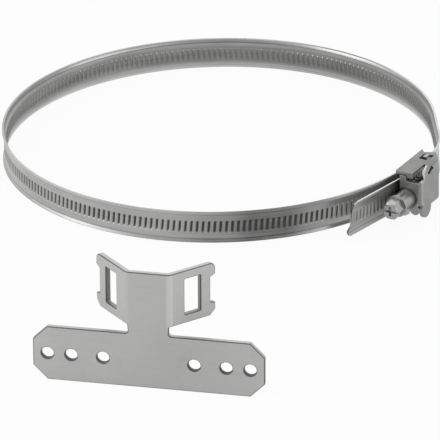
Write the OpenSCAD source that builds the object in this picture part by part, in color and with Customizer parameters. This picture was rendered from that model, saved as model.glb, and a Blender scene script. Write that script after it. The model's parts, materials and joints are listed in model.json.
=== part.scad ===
// Mast mounting bracket: a folded steel plate and the worm-drive band that straps it to a mast.
// The clamp lies on the floor on its lower ear and its far edge, and the plate stands before it.
// Clamp axes: X runs out from the mast through the screw's middle, Y along the screw, Z up the mast.

/* [Mast] */
// Diameter of the mast that the band closes round
mast_d = 160; // [130:1:200]

/* [Band] */
// Height of the band
band_w = 12; // [10:0.5:14.5]
// Thickness of the band's sheet
band_t = 0.8; // [0.6:0.1:1]
// Height of each flared edge
flare_h = 1.3; // [0.8:0.1:2]
// How far each flared edge leans outwards
flare_out = 0.6; // [0.3:0.1:1]
// Angle where the band leaves the mast on its way under the screw
lift_angle = 32; // [28:1:40]
// Bend radius where the band turns in under the screw
lift_radius = 36; // [24:1:40]
// Length of the loose tail after its bend
tail_len = 30; // [15:0.5:45]
// Angle of the loose tail to the screw
tail_turn = 10; // [4:1:14]
// Radius of the tail's upper corner
tail_round = 4; // [1:0.5:5]

/* [Saddle] */
// Thickness of the saddle's sheet
saddle_t = 1.5; // [1:0.1:1.8]
// Length of the saddle along the band, on the tail's side
saddle_front = 10; // [6:0.5:14]
// Length of the saddle along the band, behind the screw
saddle_rear = 6; // [3:0.5:9]
// Free height between the band's edge and each ear
ear_room = 1.2; // [0.6:0.1:2]

/* [Screw] */
// Radius of the worm at its crests
worm_r = 4.05; // [3.4:0.05:4.9]
// Depth of the worm's thread
thread_depth = 0.86; // [0.5:0.02:1]
// Pitch of the worm's thread
thread_pitch = 2.1; // [1.8:0.1:2.6]
// Length of the threaded part
worm_len = 10.8; // [8:0.2:11.4]
// Radius of the plain shank
shank_r = 2.5; // [2:0.1:2.8]
// Width of the hexagon across its flats
hex_af = 6.4; // [5.6:0.1:7.6]
// Height of the hexagon head
head_h = 3.3; // [2.5:0.1:5]
// Width of the cross and slot recess
recess_w = 0.9; // [0.6:0.1:1.2]
// Depth of the recess
recess_depth = 1.6; // [0.8:0.1:2.2]

/* [Guide sleeve] */
// Outer radius of the sleeve
sleeve_r = 3.7; // [3.4:0.1:4.6]
// Length of the sleeve before the housing's front wall
sleeve_len = 9.2; // [6:0.2:12]
// Radius of the sleeve's flange
flange_r = 4.5; // [4.2:0.1:5.6]
// Thickness of the sleeve's flange
flange_t = 0.8; // [0.5:0.1:1.2]

/* [Housing] */
// Thickness of the housing's sheet
shell_t = 1.2; // [0.8:0.1:1.4]
// Free space between the worm and the outer cover
cover_room = 0.95; // [0.5:0.05:1.5]
// Outer radius of the fold between the top plate and the cover
roof_fold = 3; // [2:0.1:3.4]
// Outer radius of the fold between the front wall and the cover
wall_fold = 1.8; // [1.5:0.1:2.2]
// Side of the pivot windows along the screw
window_l = 5; // [4:0.2:5.6]
// Side of the pivot windows across the screw
window_w = 4; // [3.6:0.1:4.6]
// Radius of the round lobe below the cover
cover_lobe = 3.6; // [2.5:0.1:3.8]
// Radius of the round lobe below the front wall
wall_lobe = 1.9; // [1.2:0.1:2.2]

/* [Plate] */
// Length of the bar
bar_len = 80; // [74:1:110]
// Height of the bar
bar_h = 20; // [14:0.5:26]
// Thickness of the plate's sheet
plate_t = 2; // [1.5:0.1:2.5]
// Cut of the bar's four corners
bar_cut = 5; // [2:0.5:6]
// Distance between the two inner holes
pair_inner = 31.5; // [24:0.5:38]
// Distance between the two middle holes
pair_middle = 53.5; // [46:0.5:60]
// Distance between the two outer holes
pair_outer = 70; // [66:0.5:71]
// Diameter of the six holes
hole_d = 4.3; // [3.2:0.1:5.5]
// Width of the neck above the bar
neck_w = 14; // [10:0.5:15]
// Free height between the bar and the wings
neck_h = 3.5; // [2.5:0.5:8]
// Distance between the two bend lines
bend_w = 15; // [13:0.5:20]
// Inner radius of the two bends
bend_r = 1; // [0.5:0.1:2]
// Angle of each wing to the plate's face
wing_angle = 45; // [30:1:50]
// Length of each wing from its bend line
wing_len = 18.5; // [17:0.5:24]
// Width of the sheet above and below each slot
slot_rim = 3.15; // [2.5:0.05:5]
// Width of each slot along its wing
slot_w = 6.4; // [5:0.1:8]
// Distance from the bend line to the slot
slot_in = 6.1; // [5:0.1:7]
// Room above and below the band in its slots
slot_room = 0.6; // [0.3:0.1:1.5]
// Depth of the notch in each wing's end
notch_depth = 2; // [1:0.1:2.6]
// Height of the notch at its bottom
notch_h = 9.4; // [6:0.2:10.4]

/* [Layout] */
// Where the screw sits round the mast, from the plate's side
screw_at = 72; // [40:1:90]
// Plate's middle, to the right of the mast's axis
plate_x = 13.6; // [-40:0.1:60]
// Plate's front face, before the mast's axis
plate_y = 191.8; // [150:0.1:240]

/* [Hidden] */
$fn = 96;
// Clearances: laid on each other, running free, and a shaft in its bore
lay_gap = 0.05;
free_gap = 0.3;
bore_gap = 0.08;
small_r = 0.5;
over = 1;
// Each bend laps this far into the straight after it, which is swollen by the seam to take it
lap = 0.15;
seam = 0.01;

mast_r = mast_d / 2;
half_w = band_w / 2;
flare_r = mast_r + band_t + flare_out;
saddle_r = mast_r + band_t + lay_gap;
strap_x = saddle_r + saddle_t + flare_out + 0.15;
worm_x = strap_x + band_t + lay_gap + worm_r;

// Saddle's ears and the pivot tabs that stand on them
ear_in = half_w + ear_room;
ear_out = ear_in + saddle_t;
ear_front = 6;
ear_rear = 2;
ear_reach = worm_x + 2.5;
pivot_y = -2.2;
tab_l = 2.4;
tab_w = 1.5;
tab_rise = 0.5;

// Housing, from the front wall's outer face to the worm's end
wall_y = -17.8;
roof_z = ear_out + free_gap;
roof_top = roof_z + shell_t;
cover_x = worm_x + worm_r + cover_room;
cover_out = cover_x + shell_t;
roof_in = worm_x - 4.5;
belly_z = -(worm_r + 0.45);
belly_low = belly_z - shell_t;
cover_rear = -4.2;
cover_step = 7.2;
bearing_rim = 1.6;

// The far edge of the band and the inner edge of the lower ear touch the floor together
tilt = atan((ear_out - half_w) / (saddle_r + flare_out + flare_r));
floor_z = -(half_w * cos(tilt) + flare_r * sin(tilt));

steel = [0.70, 0.70, 0.69];
bright = [0.80, 0.80, 0.79];

// Turns the clamp to its place and lays it on its lower ear
module as_it_lies() {
    rotate([0, 0, screw_at - 90]) rotate([0, -tilt, 0]) children();
}

// Stands a flat outline up: its Y becomes Z, and its thickness runs towards +Y
module upright(t) {
    rotate([90, 0, 0]) translate([0, 0, -t]) linear_extrude(t) children();
}

// Extrudes an outline of Y and Z along X, from x to x + t
module sideways(x, t) {
    translate([x, 0, 0]) rotate([90, 0, 90]) linear_extrude(t) children();
}

// Turns a solid that stands along Z so that it lies along the screw, from y towards the rear
module along_screw(y) {
    translate([worm_x, y, 0]) rotate([-90, 0, 0]) children();
}

// Rectangle from (x0, y0) to (x1, y1)
module span(x0, y0, x1, y1) {
    translate([x0, y0]) square([x1 - x0, y1 - y0]);
}

// The same with all four corners rounded
module round_span(x0, y0, x1, y1, r) {
    span(x0 + r, y0, x1 - r, y1);
    span(x0, y0 + r, x1, y1 - r);
    for (x = [x0 + r, x1 - r], y = [y0 + r, y1 - r]) translate([x, y]) circle(r);
}

// Section of the flared channel, with its inner face at 0, or swollen all round by grow
module channel(t, grow = 0) {
    wall = half_w - flare_h;
    edge = half_w + grow;
    inner = -grow;
    outer = t + grow;
    polygon([
        [inner, -wall], [inner + flare_out, -edge], [outer + flare_out, -edge], [outer, -wall],
        [outer, wall], [outer + flare_out, edge], [inner + flare_out, edge], [inner, wall]
    ]);
}

// Angle that a bend of radius r needs to lap into what follows
function lap_turn(r) = lap / r * 180 / PI;

// Band, one strip: round the mast, out under the screw and on to its loose tail
module strap_arc(r, from, turn) {
    rotate_extrude(angle = turn, start = from) translate([r, 0]) channel(band_t);
}

module strap_run(len, grow = 0) {
    rotate([90, 0, 0]) linear_extrude(len) channel(band_t, grow);
}

// Bends the strip inwards, and goes on with what follows at the bend's end
module strap_bend(r, turn) {
    translate([-r, 0, 0]) {
        strap_arc(r, -turn - lap_turn(r), turn + lap_turn(r));
        rotate([0, 0, -turn]) translate([r, 0, 0]) children();
    }
}

lift_len = (strap_x - mast_r * cos(lift_angle) - lift_radius * (1 - cos(lift_angle))) / sin(lift_angle);
strap_y = (mast_r - lift_radius) * sin(lift_angle) - lift_len * cos(lift_angle);
run_len = strap_y + 12;
tail_radius = 20;
fixed_end = asin(9 / mast_r);

// Tail's end: a rounded upper corner, and a lower edge whose flare runs on into a point
module tail() {
    lip = 2.3;
    end = lip - tail_len;
    edge = half_w + seam;
    difference() {
        strap_run(tail_len, seam);
        sideways(-over, 4 * over) {
            difference() {
                span(-tail_len - over, edge - tail_round, end + tail_round, edge + over);
                translate([end + tail_round, edge - tail_round]) circle(tail_round);
            }
            polygon([
                [-tail_len - over, edge - tail_round], [end, edge - tail_round], [end, -half_w + 1.5 * lip],
                [-tail_len, -half_w + 1.7], [-tail_len, -half_w + small_r], [-tail_len + small_r, -edge],
                [-tail_len - over, -edge]
            ]);
        }
    }
}

module band() color(bright) as_it_lies() {
    rotate([0, 0, lift_angle]) {
        strap_arc(mast_r, 0, 360 - lift_angle + fixed_end);
        translate([mast_r, 0, 0]) {
            strap_run(lift_len);
            translate([0, -lift_len, 0]) strap_bend(lift_radius, lift_angle) {
                strap_run(run_len, seam);
                translate([0, -run_len, 0]) strap_bend(tail_radius, tail_turn) tail();
            }
        }
    }
}

// Saddle: a channel that hugs the band's fixed end, with an ear and a pivot tab above and below
module saddle_sweep(front, rear) {
    from = -asin(front / saddle_r);
    rotate_extrude(angle = asin(rear / saddle_r) - from, start = from) children();
}

module ear() {
    web_r = saddle_r + flare_out;
    fold = saddle_t + small_r;
    saddle_sweep(ear_front, ear_rear) {
        span(web_r, half_w, web_r + saddle_t, ear_out - fold);
        span(web_r + fold, ear_in, web_r + fold + over, ear_out);
        intersection() {
            translate([web_r + fold, ear_out - fold]) difference() {
                circle(fold);
                circle(fold - saddle_t);
            }
            span(web_r, ear_out - fold, web_r + fold, ear_out);
        }
    }
    translate([0, 0, ear_in]) linear_extrude(saddle_t) difference() {
        polygon([
            [web_r, -ear_front], [ear_reach, -ear_front], [ear_reach, pivot_y - tab_l],
            [ear_reach - 3, ear_rear], [web_r, ear_rear]
        ]);
        circle(web_r + fold);
    }
}

module pivot_tab(z0, z1) {
    translate([worm_x - tab_w / 2, pivot_y - tab_l / 2, z0]) cube([tab_w, tab_l, z1 - z0]);
}

module saddle() color(steel) as_it_lies() {
    saddle_sweep(saddle_front, saddle_rear) translate([saddle_r, 0]) channel(saddle_t);
    ear();
    mirror([0, 0, 1]) ear();
    pivot_tab(ear_out, roof_top + tab_rise);
    pivot_tab(-ear_in, belly_z + tab_rise);
}

// Housing: one folded sheet, with the top plate, the outer cover, the front wall and a belly plate
module shell_section() {
    difference() {
        round_outer(roof_in - over, belly_low, cover_out, roof_top, roof_fold);
        round_outer(roof_in - 2 * over, belly_z, cover_x, roof_z, roof_fold - shell_t);
    }
}

// Rectangle whose two outer corners are rounded
module round_outer(x0, z0, x1, z1, r) {
    span(x0, z0, x1 - r, z1);
    span(x0, z0 + r, x1, z1 - r);
    for (z = [z0 + r, z1 - r]) translate([x1 - r, z]) circle(r);
}

module folded_sheet() {
    translate([0, wall_y, 0]) upright(-wall_y + 5) shell_section();
}

module window() {
    round_span(worm_x - window_w / 2, pivot_y - window_l / 2, worm_x + window_w / 2, pivot_y + window_l / 2, small_r);
}

module top_plate() {
    lug_x = worm_x + 2.3;
    lug_w = 2.1;
    difference() {
        intersection() {
            folded_sheet();
            translate([0, 0, cover_step]) linear_extrude(roof_top) difference() {
                polygon([
                    [roof_in, wall_y], [cover_out, wall_y], [cover_out, cover_rear], [worm_x + 1.2, 3.2],
                    [worm_x - 2.7, 1.3], [roof_in, 3.5]
                ]);
                window();
            }
        }
        translate([0, 0, cover_step - over]) linear_extrude(roof_fold + 2 * over) polygon([
            [lug_x, wall_y - over], [cover_out + over, wall_y - over], [cover_out + over, wall_y + wall_fold],
            [cover_out - 0.4, wall_y + wall_fold], [cover_out - roof_fold / 2, wall_y + 3.2],
            [cover_out - roof_fold, wall_y + 8.6], [lug_x + 0.4, wall_y + 9.6], [lug_x, wall_y + 9.6]
        ]);
        sideways(cover_out - roof_fold + 0.3, roof_fold) translate([-9.7, roof_top - 1.35]) rotate([0, 0, 10])
            span(-2.5, -0.5, 2.5, 0.5);
    }
    translate([lug_x - lug_w, wall_y, roof_z - 1]) cube([lug_w, shell_t, 1 + shell_t / 2]);
}

module cover() {
    sideways(cover_x, shell_t) {
        span(wall_y + wall_fold, belly_low + roof_fold, cover_rear, cover_step);
        translate([wall_y + 3.8, belly_z + 0.3]) circle(cover_lobe);
    }
}

// Belly plate: its inner end is an eye round the lower pivot tab, which clears the band as it swings
module belly_plate() {
    eye_r = 3.2;
    hole = tab_l / 2 + 0.55;
    intersection() {
        folded_sheet();
        translate([0, 0, belly_low]) linear_extrude(roof_fold) difference() {
            union() {
                polygon([
                    [worm_x - eye_r + 0.2, pivot_y - 1], [worm_x - eye_r + 0.2, wall_y + 7.4],
                    [cover_out, wall_y + 7.4], [cover_out, cover_rear], [worm_x + 2, pivot_y + 2.2]
                ]);
                translate([worm_x, pivot_y]) circle(eye_r);
            }
            round_span(worm_x - hole, pivot_y - hole, worm_x + hole, pivot_y + hole, small_r);
        }
    }
}

module front_wall() {
    wall_in = worm_x - 2.9;
    lobe_x = worm_x + 3.2;
    notch_z = cover_step - 0.7;
    intersection() {
        translate([0, 0, -band_w]) linear_extrude(2 * band_w) difference() {
            union() {
                span(wall_in, wall_y, cover_out - wall_fold, wall_y + shell_t);
                span(cover_x, wall_y + wall_fold, cover_out, wall_y + wall_fold + over);
                intersection() {
                    translate([cover_out - wall_fold, wall_y + wall_fold]) difference() {
                        circle(wall_fold);
                        circle(wall_fold - shell_t);
                    }
                    span(cover_out - wall_fold, wall_y, cover_out, wall_y + wall_fold);
                }
            }
        }
        translate([0, wall_y - over, 0]) upright(8) difference() {
            union() {
                span(wall_in, 0, worm_x - 0.4, roof_z - 0.4);
                span(wall_in, -2.2, cover_out, notch_z);
                span(cover_out - shell_t, 0, cover_out, cover_step);
                translate([worm_x, 0]) circle(sleeve_r + bearing_rim);
                translate([lobe_x, -4.3]) circle(wall_lobe);
            }
            translate([worm_x, 0]) circle(sleeve_r + lay_gap);
        }
    }
}

module screw_housing() color(steel) as_it_lies() {
    top_plate();
    cover();
    belly_plate();
    front_wall();
}

// Sleeve that carries the screw before the front wall, with its flange and lock tab
sleeve_y = wall_y - sleeve_len;
sleeve_end = wall_y + shell_t + 0.2;

module guide_sleeve() color(bright) as_it_lies() {
    along_screw(sleeve_y) difference() {
        union() {
            cylinder(h = sleeve_end - sleeve_y, r = sleeve_r);
            translate([0, 0, -flange_t]) cylinder(h = flange_t, r = flange_r);
        }
        translate([0, 0, -over]) cylinder(h = 3 * sleeve_len, r = shank_r + bore_gap);
    }
    translate([worm_x + 3, sleeve_y - flange_t, -3.1]) cube([1.1, 2.8, 2.1]);
}

// Screw: hexagon head with a cross and slot recess, plain shank and right-hand worm
head_y = sleeve_y - flange_t - 0.1;
worm_y = sleeve_end + free_gap;

module recess() {
    for (a = [0, 90])
        rotate([0, 0, a]) translate([-hex_af * 0.29, -recess_w / 2, -over])
            cube([hex_af * 0.58, recess_w, recess_depth + over]);
    translate([-hex_af, -recess_w / 2, -over]) cube([2 * hex_af, recess_w, recess_depth / 2 + over]);
}

module worm_screw() color(bright) as_it_lies() {
    along_screw(head_y - head_h) difference() {
        intersection() {
            cylinder(h = head_h, r = hex_af / sqrt(3), $fn = 6);
            rotate_extrude() polygon([
                [0, 0], [hex_af * 0.46, 0], [hex_af / sqrt(3), 0.6], [hex_af / sqrt(3), head_h], [0, head_h]
            ]);
        }
        recess();
    }
    along_screw(head_y) cylinder(h = worm_y - head_y, r = shank_r);
    along_screw(worm_y) linear_extrude(worm_len, twist = -360 * worm_len / thread_pitch,
        slices = ceil(14 * worm_len / thread_pitch), $fn = 24)
        translate([thread_depth / 2, 0]) circle(worm_r - thread_depth / 2);
}

// Plate: bar, neck and strip in one plane, and a wing folded back at each side of the strip
wing_z = bar_h + neck_h;
slot_h = band_w + 2 * slot_room;
wing_h = slot_h + 2 * slot_rim;
plate_h = wing_z + wing_h;
front_r = bend_r + plate_t;
bend_back = front_r * tan(wing_angle / 2);
strip_half = bend_w / 2 - bend_back;

module bar_outline() {
    half = bar_len / 2;
    difference() {
        union() {
            polygon([
                [-half, bar_cut], [-half + bar_cut, 0], [half - bar_cut, 0], [half, bar_cut],
                [half, bar_h - bar_cut], [half - bar_cut, bar_h], [-half + bar_cut, bar_h], [-half, bar_h - bar_cut]
            ]);
            span(-neck_w / 2, bar_h - over, neck_w / 2, wing_z);
            span(-strip_half, wing_z - over, strip_half, plate_h);
            for (side = [-1, 1]) on_side(side) translate([neck_w / 2, bar_h]) fillet(small_r * 2);
        }
        for (pair = [pair_inner, pair_middle, pair_outer], side = [-1, 1])
            translate([side * pair / 2, bar_h / 2]) circle(hole_d / 2);
    }
}

module on_side(side) {
    if (side < 0) mirror([1, 0]) children();
    else children();
}

// Fills the inner corner at the origin with a concave arc
module fillet(r) {
    difference() {
        translate([-over, -over]) square(r + over);
        translate([r, r]) circle(r);
    }
}

// Wing's outline: X from its bend line, Y up from the plate's lower edge
module wing_outline() {
    horn = 2.1;
    low = wing_z - seam;
    high = plate_h + seam;
    mid = wing_z + wing_h / 2;
    difference() {
        union() {
            polygon([
                [bend_back, low], [wing_len - horn, low], [wing_len, low + horn],
                [wing_len, high - horn], [bend_back, high - horn]
            ]);
            span(bend_back, high - horn - over, wing_len - horn, high);
            translate([wing_len - horn, high - horn]) circle(horn);
        }
        round_span(slot_in, mid - slot_h / 2, slot_in + slot_w, mid + slot_h / 2, 0.4);
        polygon([
            [wing_len - notch_depth, mid - notch_h / 2], [wing_len + over, mid - notch_h / 2 - 0.6],
            [wing_len + over, mid + notch_h / 2 + 1.1], [wing_len - notch_depth, mid + notch_h / 2]
        ]);
    }
}

module wing() {
    translate([strip_half, front_r, 0]) {
        translate([0, 0, wing_z]) rotate_extrude(angle = wing_angle + lap_turn(front_r), start = -90)
            translate([bend_r, 0]) square([plate_t, wing_h]);
        rotate([0, 0, wing_angle]) translate([-bend_back, -front_r - seam, 0])
            upright(plate_t + 2 * seam) wing_outline();
    }
}

module bracket_plate() color(steel) translate([plate_x, -plate_y, floor_z]) {
    upright(plate_t) bar_outline();
    wing();
    mirror([1, 0, 0]) wing();
}

bracket_plate();
band();
saddle();
screw_housing();
guide_sleeve();
worm_screw();
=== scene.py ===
"""Looks of a mast mounting bracket: a folded plate and the band clamp that straps it on."""

import json
import math

import bmesh
import bpy
from mathutils import Matrix, Vector
from mathutils.geometry import intersect_point_line


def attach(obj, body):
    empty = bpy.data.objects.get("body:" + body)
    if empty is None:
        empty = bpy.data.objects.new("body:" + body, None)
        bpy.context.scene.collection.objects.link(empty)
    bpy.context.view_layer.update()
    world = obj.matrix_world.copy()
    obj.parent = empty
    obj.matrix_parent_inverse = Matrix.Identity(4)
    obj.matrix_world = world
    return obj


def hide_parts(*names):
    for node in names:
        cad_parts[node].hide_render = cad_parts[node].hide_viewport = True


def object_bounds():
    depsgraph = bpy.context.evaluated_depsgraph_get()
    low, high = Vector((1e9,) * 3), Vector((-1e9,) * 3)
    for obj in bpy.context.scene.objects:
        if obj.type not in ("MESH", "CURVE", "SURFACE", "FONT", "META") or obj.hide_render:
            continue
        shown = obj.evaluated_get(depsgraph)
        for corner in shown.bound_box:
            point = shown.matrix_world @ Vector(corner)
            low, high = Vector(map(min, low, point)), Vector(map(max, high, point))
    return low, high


bl_info = {
    "name": "Mast Mounting Bracket",
    "version": (1, 0, 0),
    "blender": (4, 5, 0),
    "location": "3D View > Sidebar > Bracket",
    "description": "Builds the folded plate, the band clamp and the studio round them",
    "category": "Object",
}

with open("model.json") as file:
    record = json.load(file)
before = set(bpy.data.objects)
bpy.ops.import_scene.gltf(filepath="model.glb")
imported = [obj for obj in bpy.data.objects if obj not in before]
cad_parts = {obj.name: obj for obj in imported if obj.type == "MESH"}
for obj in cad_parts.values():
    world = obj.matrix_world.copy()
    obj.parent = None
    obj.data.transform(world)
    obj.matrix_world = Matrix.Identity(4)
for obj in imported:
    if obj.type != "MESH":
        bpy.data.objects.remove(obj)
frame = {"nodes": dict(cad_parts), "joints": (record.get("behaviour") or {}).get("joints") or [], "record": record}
CAD_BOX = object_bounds()
MOUNTS = {m["name"]: m for m in frame["record"]["mounts"]}
JOINTS = {j["name"]: j for j in frame["joints"]}
FLOOR_Z = CAD_BOX[0][2]
MM = 0.001


def clamp_axes():
    """The clamp's own axes: out through the screw, along the screw, up the mast."""
    up = Vector(MOUNTS["mast_clamp"]["axis"]).normalized()
    along = Vector(JOINTS["screw_turn"]["axis"]).normalized()
    out = along.cross(up)
    turn = Matrix((out, along, up)).transposed().to_4x4()
    turn.translation = Vector(MOUNTS["mast_clamp"]["pos_m"])
    return turn


CLAMP = clamp_axes()
TO_CLAMP = CLAMP.inverted()
PLATE_AT = Vector(MOUNTS["bolts_inner"]["pos_m"])
SCREW_OUT = (TO_CLAMP @ Vector(JOINTS["screw_turn"]["pos_m"])).x


# ---- sizes and colours


def number(name, description, value, least=0.0, **kind):
    return bpy.props.FloatProperty(
        name=name, description=description, default=value, min=least, **kind
    )


def length(name, description, mm, least=0.0):
    return number(name, description, mm * MM, least, unit="LENGTH")


def angle(name, description, degrees):
    return number(name, description, math.radians(degrees), -math.pi, subtype="ANGLE")


def share(name, description, value):
    return number(name, description, value, max=1.0, subtype="FACTOR")


def colour(name, description, value):
    return bpy.props.FloatVectorProperty(
        name=name, description=description, default=value,
        size=3, min=0.0, max=1.0, subtype="COLOR",
    )


class BandSizes(bpy.types.PropertyGroup):
    """Sizes of the strip and of the thread pressed into it."""

    radius: length("Mast radius", "Inner radius of the band", MOUNTS["mast_clamp"]["dims"]["r_mm"])
    height: length("Height", "Height of the band", 12)
    sheet: length("Sheet", "Thickness of the band's sheet", 0.8)
    flare_height: length("Flare height", "Height of each flared edge", 1.3)
    flare_out: length("Flare", "How far each edge leans outwards", 0.6)
    strap_out: length("Strap distance", "From the mast's axis to the strip under the screw", 83.1)
    lift_radius: length("Lift radius", "Bend where the strip turns in under the screw", 36)
    tail: length("Tail", "Length of the loose tail", 30)
    tail_round: length("Tail corner", "Radius of the tail's upper corner", 4)
    pitch: length("Thread pitch", "Distance between two pressed marks", 2.1)
    mark_height: length("Mark height", "Height of each pressed mark", 4.5)
    mark_width: length("Mark width", "Width of each pressed mark", 1.08)
    mark_depth: length("Mark depth", "How deep the marks are pressed", 0.42)


class PlateSizes(bpy.types.PropertyGroup):
    """Sizes of the folded plate."""

    bar: length("Bar length", "Length of the bar", 80)
    bar_height: length("Bar height", "Height of the bar", 20)
    sheet: length("Sheet", "Thickness of the plate", 2)
    cut: length("Corner cut", "Cut of the bar's corners", 5)
    hole: length(
        "Hole radius", "Radius of the six holes", MOUNTS["bolts_inner"]["dims"]["hole_r_mm"]
    )
    neck: length("Neck", "Width of the neck", 14)
    neck_height: length("Neck height", "Free height between bar and wings", 3.5)
    bend: length("Bend distance", "Distance between the two bend lines", 15)
    wing: length("Wing", "Length of each wing from its bend line", 18.5)
    wing_height: length("Wing height", "Height of each wing", 19.5)
    slot_in: length("Slot place", "From the bend line to the slot", 6.1)
    slot_width: length("Slot width", "Width of each slot", 6.4)
    slot_height: length("Slot height", "Height of each slot", 13.2)
    edge: length("Edge", "Rounding of the punched edges", 0.3)


class Finishes(bpy.types.PropertyGroup):
    """Colours and gloss of the steel."""

    plate: colour("Plate", "Colour of the plate's satin steel", (0.49, 0.49, 0.48))
    band: colour("Band", "Colour of the band's bright steel", (0.30, 0.30, 0.295))
    housing: colour("Housing", "Colour of the pressed housing", (0.32, 0.32, 0.316))
    screw: colour("Screw", "Colour of the screw and its sleeve", (0.38, 0.38, 0.375))
    plate_rough: share("Plate roughness", "How matt the plate is", 0.46)
    band_rough: share("Band roughness", "How matt the band is", 0.36)


class ScrewSizes(bpy.types.PropertyGroup):
    """Sizes of the worm."""

    crest: length("Crest radius", "Radius of the worm at its crests", 4.05)
    depth: length("Thread depth", "Depth of the worm's thread", 0.86)
    pitch: length("Pitch", "Pitch of the worm's thread", 2.1)
    start: length("Start", "Where the worm starts along the screw", -16.15, -1.0)
    reach: length("Length", "Length of the worm", 10.8)


class StudioSettings(bpy.types.PropertyGroup):
    """Camera and light."""

    azimuth: angle("Azimuth", "Camera's turn round the object", 11.3)
    elevation: angle("Elevation", "Camera's height angle", 25.32)
    roll: angle("Roll", "Camera's roll", -0.21)
    distance: length("Distance", "Camera to the mast's axis", 1735)
    side: length("Side", "Camera's sideways shift", 0.21, -1.0)
    lift: length("Lift", "Camera's upward shift", -31.47, -1.0)
    lens: number("Lens", "Focal length in mm on a 36 mm sensor", 378.5)
    ambient: number("Ambient", "Light from all round", 0.5)


# ---- node maths


def math_operator(name, flipped=False):
    """A Math node as an operator; flipped is for a number on its left."""
    def apply(self, other):
        return self.tree.math(name, *((other, self) if flipped else (self, other)))
    return apply


class Value:
    """A number that changes over a surface. Python's operators on it add Math nodes."""

    __add__ = __radd__ = math_operator("ADD")
    __mul__ = __rmul__ = math_operator("MULTIPLY")
    __sub__, __rsub__ = math_operator("SUBTRACT"), math_operator("SUBTRACT", True)
    __truediv__, __rtruediv__ = math_operator("DIVIDE"), math_operator("DIVIDE", True)

    def __init__(self, tree, socket):
        self.tree, self.socket = tree, socket

    def __abs__(self):
        return self.tree.math("ABSOLUTE", self)

    def swing(self, amount, middle=0.5):
        """Noise turned into a swing of that amount about zero."""
        return (self - middle) * amount


class Nodes:
    """A node tree, built node by node."""

    def node(self, kind, settings=None, sockets=None):
        """Adds any node. Its settings come first, then the values or links of its sockets."""
        made = self.tree.nodes.new(kind)
        for key, setting in (settings or {}).items():
            setattr(made, key, setting)
        for key, source in (sockets or {}).items():
            source = getattr(source, "socket", source)
            if isinstance(source, bpy.types.NodeSocket):
                self.tree.links.new(source, made.inputs[key])
            else:
                made.inputs[key].default_value = source
        return made

    def math(self, operation, *sources):
        made = self.node("ShaderNodeMath", {"operation": operation}, dict(enumerate(sources)))
        return Value(self, made.outputs[0])

    def ramp(self, source, low, high, first=0.0, last=1.0):
        """Smooth change from first, where source is low, to last, where it is high."""
        ends = {0: source, 1: low, 2: high, 3: first, 4: last}
        made = self.node("ShaderNodeMapRange", {"interpolation_type": "SMOOTHSTEP"}, ends)
        return Value(self, made.outputs[0])

    def split(self, vector):
        """The three coordinates of a vector socket."""
        parts = self.node("ShaderNodeSeparateXYZ", None, {0: vector}).outputs
        return [Value(self, part) for part in parts]


class Finish(Nodes):
    """One material or world, built node by node."""

    def __init__(self, name, store="materials"):
        self.material = getattr(bpy.data, store).new(name)
        self.material.use_nodes = True
        self.tree = self.material.node_tree
        self.tree.nodes.clear()

    def stored(self, name):
        made = self.node("ShaderNodeAttribute", {"attribute_name": name})
        return Value(self, made.outputs["Fac"])

    def coordinates(self, kind="Object"):
        return self.node("ShaderNodeTexCoord").outputs[kind]

    def noise(self, vector, scale, detail=3.0, stretch=(1.0, 1.0, 1.0)):
        """Noise from 0 to 1 about 0.5, drawn out along the axes where stretch is small."""
        mapped = self.node("ShaderNodeMapping", None, {"Vector": vector, "Scale": stretch})
        inputs = {"Vector": mapped.outputs[0], "Scale": scale, "Detail": detail}
        return Value(self, self.node("ShaderNodeTexNoise", None, inputs).outputs["Fac"])

    def tint(self, tone, light, dark, wear_and_painted_light):
        """The tone, from light times itself where wear_and_painted_light is 0 to dark times itself where it is 1.
        """
        ends = [(*(part * times for part in tone), 1.0) for times in (light, dark)]
        share_of = self.math("MAXIMUM", wear_and_painted_light, 0.0)
        blend = {"Factor": share_of, 6: ends[0], 7: ends[1]}
        return self.node("ShaderNodeMix", {"data_type": "RGBA"}, blend).outputs[2]

    def bump(self, height, strength):
        relief = {"Height": height, "Strength": strength, "Distance": BUMP_DEPTH}
        return self.node("ShaderNodeBump", None, relief).outputs[0]

    def steel(self, base, rough, bump, metal):
        """Ends the tree in a Principled shader."""
        look = {"Base Color": base, "Metallic": metal, "Roughness": rough, "Normal": bump}
        shader = self.node("ShaderNodeBsdfPrincipled", None, look)
        self.node("ShaderNodeOutputMaterial", None, {"Surface": shader.outputs[0]})
        return self.material

    def rays(self, *kinds):
        """1 for rays of these kinds and 0 for others."""
        path = self.node("ShaderNodeLightPath").outputs
        seen = path[kinds[0]]
        for kind in kinds[1:]:
            seen = self.math("MAXIMUM", seen, path[kind])
        return seen

    def blend(self, share_of, one, two, output):
        """Ends the tree in a blend of two shaders."""
        sockets = {"Fac": share_of, 1: one.outputs[0], 2: two.outputs[0]}
        both = self.node("ShaderNodeMixShader", None, sockets)
        self.node(output, None, {"Surface": both.outputs[0]})
        return self.material


# ---- finishes

BUMP_DEPTH = 0.02 * MM
# Share of the dark tone on a plain surface of each finish.
PLATE_SKIN, BAND_SKIN, PRESSED_SKIN = 0.296, 0.555, 0.444
PLATE_CUT_AND_PAINTED_LIGHT = 0.62
# How rough the turned sleeve, the screw, the housing and the saddle are.
SLEEVE_ROUGH, SCREW_ROUGH, HOUSING_ROUGH, SADDLE_ROUGH = 0.30, 0.27, 0.36, 0.34
PLATE_METAL, BAND_METAL, PRESSED_METAL = 0.82, 0.78, 1.0


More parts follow.
